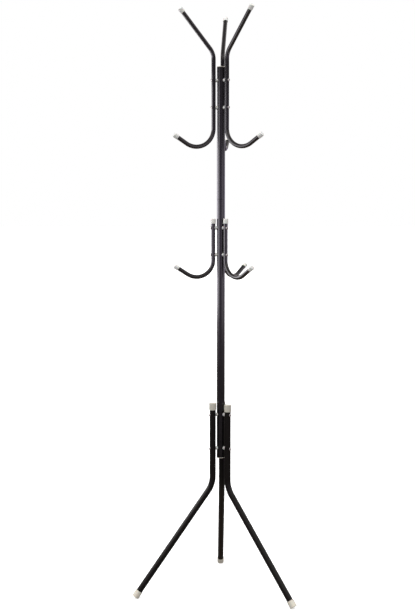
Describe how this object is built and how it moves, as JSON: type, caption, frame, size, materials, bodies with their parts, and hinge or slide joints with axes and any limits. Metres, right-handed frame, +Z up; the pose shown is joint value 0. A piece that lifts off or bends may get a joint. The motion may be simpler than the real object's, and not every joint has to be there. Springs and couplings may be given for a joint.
{
  "type": "coat stand",
  "caption": "Free-standing steel tube coat stand: splayed hat arms over coat hooks, a lower ring of coat hooks, and splayed legs, all bolted to one pole.",
  "frame": {"origin": "on the floor, under the middle of the box round the three feet", "axes": "+Z up along the pole, +X towards the right foot's side, +Y towards the back leg"},
  "size_m": [0.5, 0.4588, 1.8],
  "materials": {
    "black_tube": "glossy black enamel on steel tube",
    "cap_plastic": "cream moulded plastic with a soft sheen",
    "spacer_plastic": "off-white moulded plastic",
    "bolt_steel": "zinc-plated steel"
  },
  "bodies": {
    "base": {"foot_cap_back": "cap_plastic", "foot_cap_left": "cap_plastic", "foot_cap_right": "cap_plastic", "leg_back": "black_tube", "leg_bolt_bottom_back": "bolt_steel", "leg_bolt_bottom_left": "bolt_steel", "leg_bolt_bottom_right": "bolt_steel", "leg_bolt_top_back": "bolt_steel", "leg_bolt_top_left": "bolt_steel", "leg_bolt_top_right": "bolt_steel", "leg_left": "black_tube", "leg_right": "black_tube", "leg_spacer_bottom_back": "spacer_plastic", "leg_spacer_bottom_left": "spacer_plastic", "leg_spacer_bottom_right": "spacer_plastic", "leg_spacer_top_back": "spacer_plastic", "leg_spacer_top_left": "spacer_plastic", "leg_spacer_top_right": "spacer_plastic", "leg_top_cap_back": "cap_plastic", "leg_top_cap_left": "cap_plastic", "leg_top_cap_right": "cap_plastic", "lower_pole": "black_tube", "pole_bottom_plug": "cap_plastic"},
    "middle": {"lower_fixing_bottom_back": "spacer_plastic", "lower_fixing_bottom_left": "spacer_plastic", "lower_fixing_bottom_right": "spacer_plastic", "lower_fixing_top_back": "spacer_plastic", "lower_fixing_top_left": "spacer_plastic", "lower_fixing_top_right": "spacer_plastic", "lower_hook_back": "black_tube", "lower_hook_cap_back": "cap_plastic", "lower_hook_cap_left": "cap_plastic", "lower_hook_cap_right": "cap_plastic", "lower_hook_left": "black_tube", "lower_hook_right": "black_tube", "lower_hook_top_cap_back": "cap_plastic", "lower_hook_top_cap_left": "cap_plastic", "lower_hook_top_cap_right": "cap_plastic", "middle_pole": "black_tube"},
    "top": {"hat_arm_cap_back": "cap_plastic", "hat_arm_cap_left": "cap_plastic", "hat_arm_cap_right": "cap_plastic", "pole_top_plug": "cap_plastic", "upper_fixing_bottom_back": "spacer_plastic", "upper_fixing_bottom_left": "spacer_plastic", "upper_fixing_bottom_right": "spacer_plastic", "upper_fixing_top_back": "spacer_plastic", "upper_fixing_top_left": "spacer_plastic", "upper_fixing_top_right": "spacer_plastic", "upper_hook_back": "black_tube", "upper_hook_cap_back": "cap_plastic", "upper_hook_cap_left": "cap_plastic", "upper_hook_cap_right": "cap_plastic", "upper_hook_left": "black_tube", "upper_hook_right": "black_tube", "upper_pole": "black_tube"}
  },
  "joints": [
    {"name": "middle_pole_twist", "type": "hinge", "parent": "base", "child": "middle", "pos_m": [0.02153, -0.05369, 0.8263], "axis": [0, 0, 1], "continuous": true},
    {"name": "upper_pole_twist", "type": "hinge", "parent": "middle", "child": "top", "pos_m": [0.02153, -0.05369, 1.2262], "axis": [0, 0, 1], "continuous": true}
  ]
}
